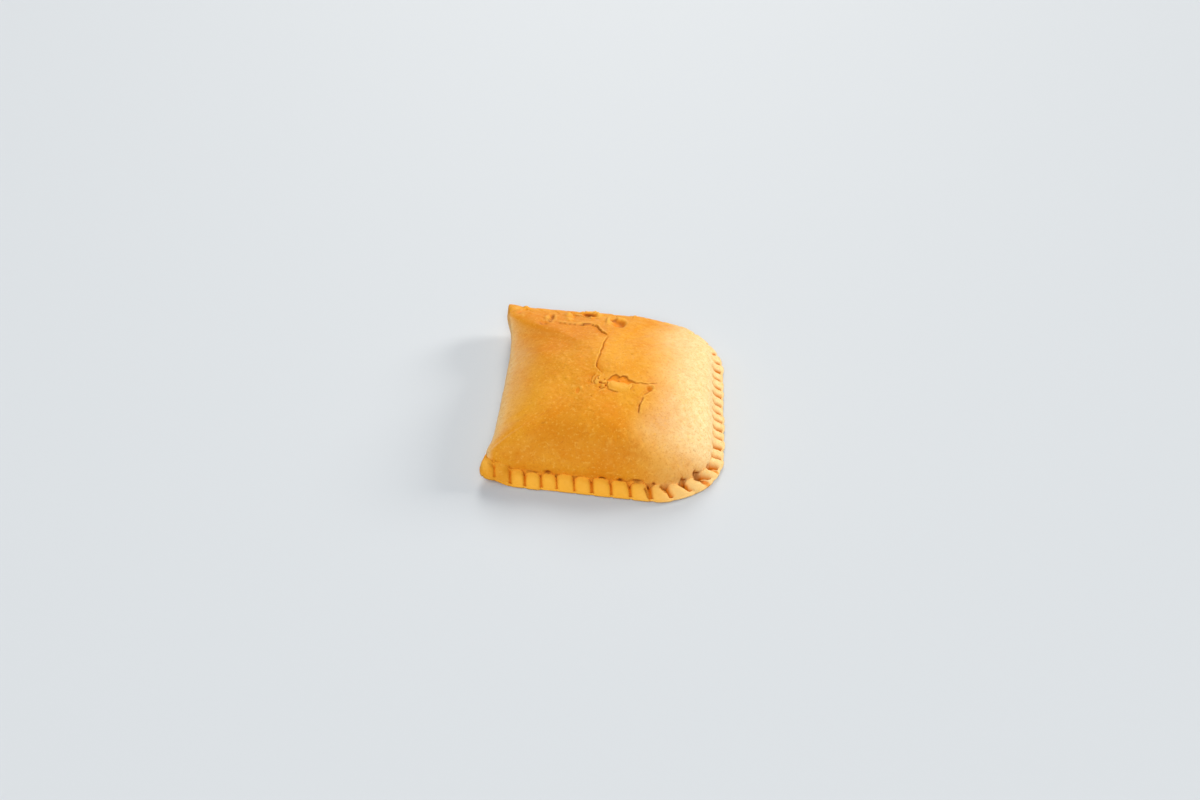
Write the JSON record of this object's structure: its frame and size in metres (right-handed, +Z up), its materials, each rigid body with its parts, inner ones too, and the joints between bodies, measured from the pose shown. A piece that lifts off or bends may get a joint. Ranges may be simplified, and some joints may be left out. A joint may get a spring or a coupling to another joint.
{
  "type": "jamaican patty",
  "caption": "Baked half-moon turnover with a puffed yellow crust, a smooth folded side, a crimped rim on the other sides and a torn top layer.",
  "frame": {"origin": "middle of the bottom of the bounding box, on the surface that the patty lies on", "axes": "+X from the folded side to the crimped right side, +Y from front to back along the fold, +Z up through the crust"},
  "size_m": [0.1003, 0.1142, 0.0264],
  "materials": {
    "baked_crust": "matte baked pastry, finely mottled yellow to orange"
  },
  "bodies": {
    "root": {"patty": "baked_crust"}
  },
  "joints": []
}
